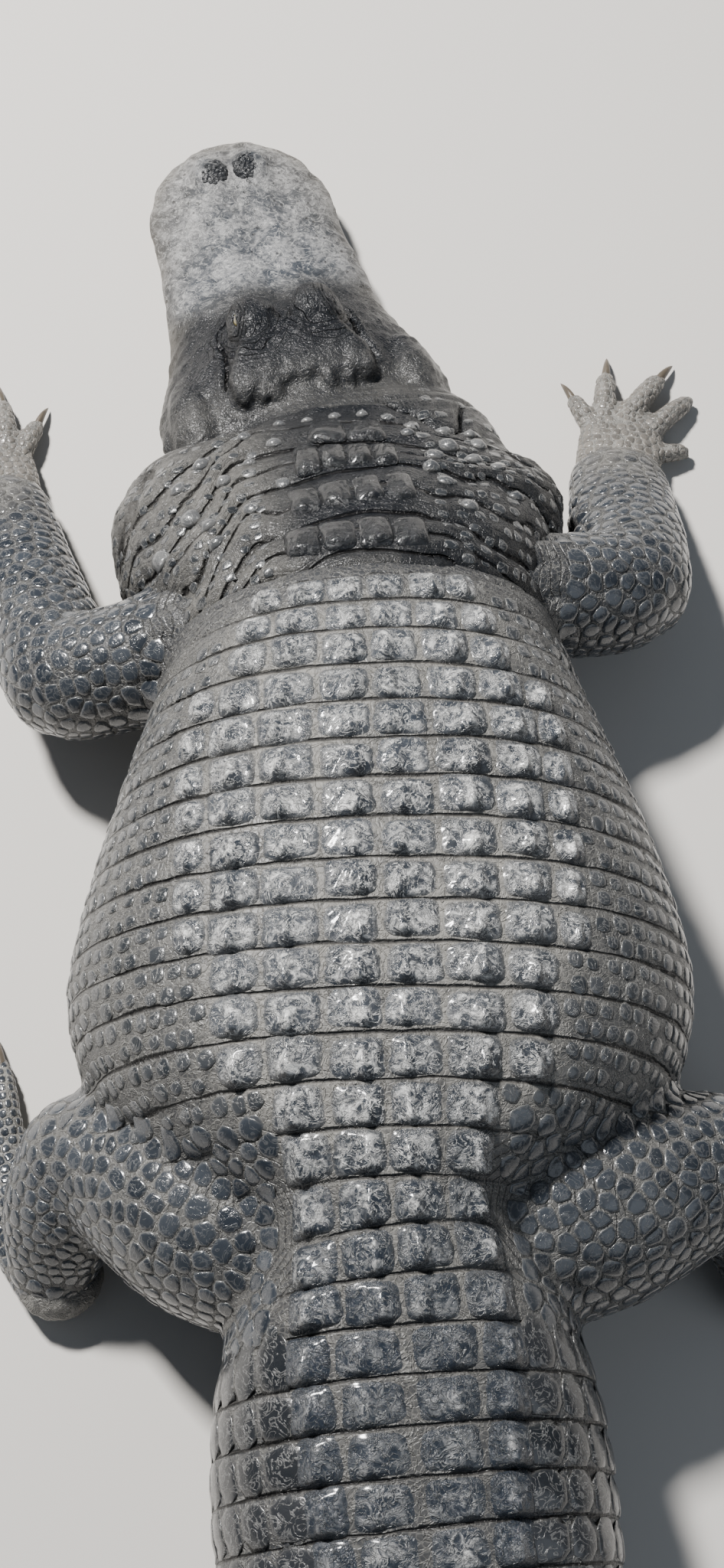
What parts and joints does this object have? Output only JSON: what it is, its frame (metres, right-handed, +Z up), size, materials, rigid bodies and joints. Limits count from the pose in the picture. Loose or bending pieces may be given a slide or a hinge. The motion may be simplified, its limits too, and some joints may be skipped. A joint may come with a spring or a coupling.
{
  "type": "american alligator",
  "caption": "Life-size still model of an adult american alligator lying on its belly, legs spread, head turned to its left and mouth closed, tail curved.",
  "frame": {"origin": "on the floor, on the flat that the belly rests on, under the middle of the trunk", "axes": "+Z up, +Y towards the head, +X to the animal's right"},
  "size_m": [1.392, 2.8003, 0.3714],
  "materials": {
    "hide": "dark blue-grey scales, half glossy, with brown-grey dust in the grooves",
    "head": "dusty grey bony skin",
    "scute": "near-black keratin plates, half glossy",
    "claw": "dark brown horn",
    "tooth": "yellowed ivory",
    "eye": "wet olive-brown eye with a slit pupil"
  },
  "bodies": {
    "root": {"upper_head": "head", "lower_jaw": "head", "left_eye": "eye", "right_eye": "eye", "neck": "hide", "torso": "hide", "tail_base": "hide", "tail_middle": "hide", "tail_end": "hide", "left_upper_arm": "hide", "left_forearm": "hide", "left_hand": "hide", "right_upper_arm": "hide", "right_forearm": "hide", "right_hand": "hide", "left_thigh": "hide", "left_shank": "hide", "left_foot": "hide", "right_thigh": "hide", "right_shank": "hide", "right_foot": "hide", "left_hand_claw_1": "claw", "left_hand_claw_2": "claw", "left_hand_claw_3": "claw", "right_hand_claw_1": "claw", "right_hand_claw_2": "claw", "right_hand_claw_3": "claw", "left_foot_claw_1": "claw", "left_foot_claw_2": "claw", "left_foot_claw_3": "claw", "right_foot_claw_1": "claw", "right_foot_claw_2": "claw", "right_foot_claw_3": "claw"}
  },
  "joints": []
}
